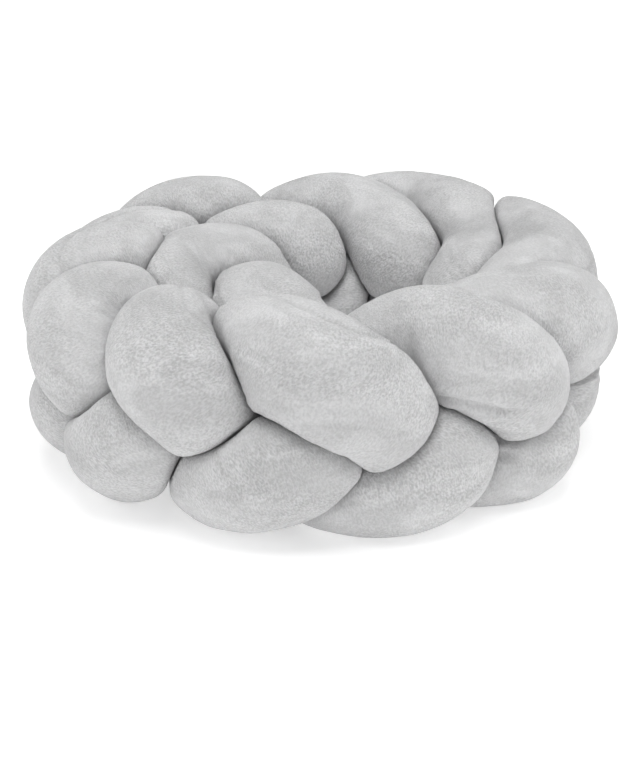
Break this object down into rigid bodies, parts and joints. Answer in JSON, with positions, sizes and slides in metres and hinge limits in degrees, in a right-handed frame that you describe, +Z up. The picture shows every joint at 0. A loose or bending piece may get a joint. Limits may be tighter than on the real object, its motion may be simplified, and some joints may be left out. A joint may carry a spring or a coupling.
{
  "type": "braided crib bumper",
  "caption": "Plush crib bumper of stuffed tubes plaited flat and coiled up for store, standing on its lower edge with a gap down its middle.",
  "frame": {"origin": "middle of the coil's plan box, on the surface that its lower edge stands on", "axes": "+Z up, square to that surface and along the plait's height; -Y towards the side where three broad passes show"},
  "size_m": [0.5706, 0.5912, 0.2105],
  "materials": {
    "plush": "soft short-pile plush, light grey"
  },
  "bodies": {
    "root": {"strand_a": "plush", "strand_b": "plush", "strand_c": "plush"}
  },
  "joints": []
}
